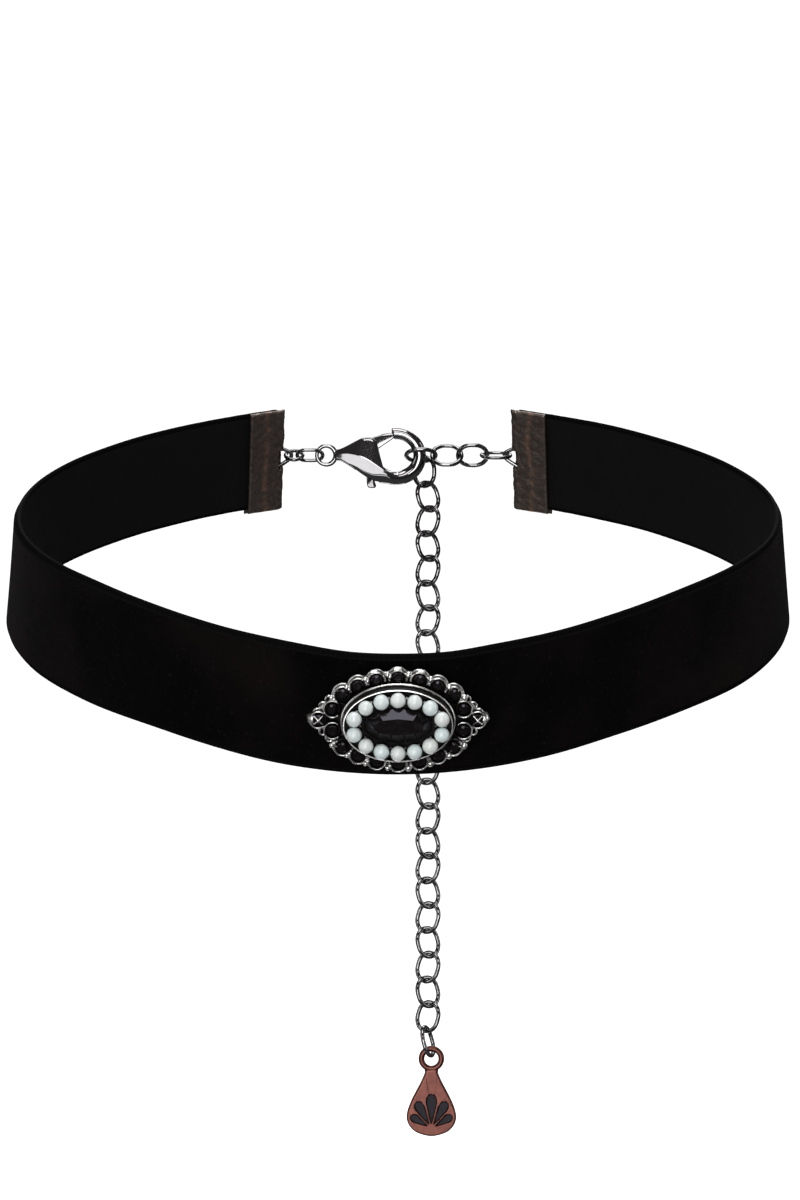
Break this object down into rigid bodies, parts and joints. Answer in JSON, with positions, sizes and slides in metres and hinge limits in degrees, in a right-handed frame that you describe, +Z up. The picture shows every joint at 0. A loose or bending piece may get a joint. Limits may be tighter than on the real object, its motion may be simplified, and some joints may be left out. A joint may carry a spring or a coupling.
{
  "type": "velvet choker necklace",
  "caption": "Black velvet ribbon choker with an oval pearl and black stone ornament at the front, a lobster clasp and a long extension chain with a drop at the back.",
  "frame": {"origin": "middle of the ribbon's loop, on the axis of the neck that it sits round", "axes": "+Z up as worn, -Y towards the wearer's front, where the ornament is, +X towards the wearer's left hand side as seen from behind the ornament; the loop leans 21.5 degrees, low at the front"},
  "size_m": [0.1222, 0.1129, 0.1248],
  "materials": {
    "black_velvet": "short-pile black velvet, satin inner face",
    "dark_bronze": "dark bronze plate with copper rub-through and fine hammering",
    "gunmetal": "polished black-nickel plate",
    "antique_silver": "antique silver plate, blackened in the recesses",
    "antique_copper": "antique copper plate, dark grey in the recesses",
    "pearl": "pearl lustre, faint blue and pink",
    "black_glass": "opaque black cut glass"
  },
  "bodies": {
    "necklace": {"black_stone_01": "black_glass", "black_stone_02": "black_glass", "black_stone_03": "black_glass", "black_stone_04": "black_glass", "black_stone_05": "black_glass", "black_stone_06": "black_glass", "black_stone_07": "black_glass", "black_stone_08": "black_glass", "black_stone_09": "black_glass", "black_stone_10": "black_glass", "black_stone_11": "black_glass", "black_stone_12": "black_glass", "black_stone_13": "black_glass", "black_stone_14": "black_glass", "black_stone_15": "black_glass", "black_stone_16": "black_glass", "black_stone_17": "black_glass", "black_stone_18": "black_glass", "black_stone_19": "black_glass", "black_stone_20": "black_glass", "centre_stone": "black_glass", "charm": "antique_copper", "clasp_body": "gunmetal", "end_crimp_left": "dark_bronze", "end_crimp_right": "dark_bronze", "extension_chain": "gunmetal", "link_left": "gunmetal", "ornament_setting": "antique_silver", "pearl_01": "pearl", "pearl_02": "pearl", "pearl_03": "pearl", "pearl_04": "pearl", "pearl_05": "pearl", "pearl_06": "pearl", "pearl_07": "pearl", "pearl_08": "pearl", "pearl_09": "pearl", "pearl_10": "pearl", "pearl_11": "pearl", "pearl_12": "pearl", "pearl_13": "pearl", "pearl_14": "pearl", "ring_left": "gunmetal", "ring_right": "gunmetal", "velvet_band": "black_velvet"},
    "lever": {"clasp_lever": "gunmetal"}
  },
  "joints": [
    {"name": "clasp_lever_hinge", "type": "hinge", "parent": "necklace", "child": "lever", "pos_m": [-0.00471, 0.05119, 0.02016], "axis": [0, 1, 0], "range_deg": [0, 22], "stiffness_Nm_per_rad": 0.002, "springref_deg": -11.46}
  ]
}
